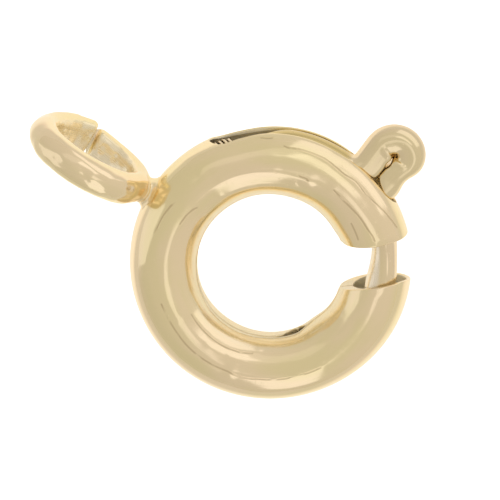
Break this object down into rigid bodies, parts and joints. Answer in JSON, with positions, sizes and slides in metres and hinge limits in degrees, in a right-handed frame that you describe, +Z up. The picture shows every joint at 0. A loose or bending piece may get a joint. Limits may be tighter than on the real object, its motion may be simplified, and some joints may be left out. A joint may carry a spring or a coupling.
{
  "type": "spring ring clasp",
  "caption": "Hollow ring clasp with a sprung wire gate, a thumb nub that draws it back, and a soldered split jump ring.",
  "frame": {"origin": "centre of the clasp's ring, on the axis that the gate turns about", "axes": "+X away from the jump ring, along the clasp; +Y along the jump ring's hole, on the nub's side; +Z up from the surface that the clasp lies on. The ring's own axis leans 6.17 degrees from +Z towards +X, because the clasp rests on its jump ring and on the far side of its tube"},
  "size_m": [0.0088, 0.007, 0.0029],
  "materials": {
    "gold": "polished pale yellow gold",
    "gate_gold": "polished pale yellow gold wire with fine wear",
    "spring_steel": "drawn spring wire, pale gold"
  },
  "bodies": {
    "body": {"ring_body": "gold", "spring": "spring_steel"},
    "gate": {"gate": "gate_gold"}
  },
  "joints": [
    {"name": "gate_slide", "type": "hinge", "parent": "body", "child": "gate", "pos_m": [0, 0, 0], "axis": [0.1075, 0, 0.9942], "range_deg": [0, 37.3], "stiffness_Nm_per_rad": 0.002, "springref_deg": -34.38, "deforming": ["spring"]}
  ]
}
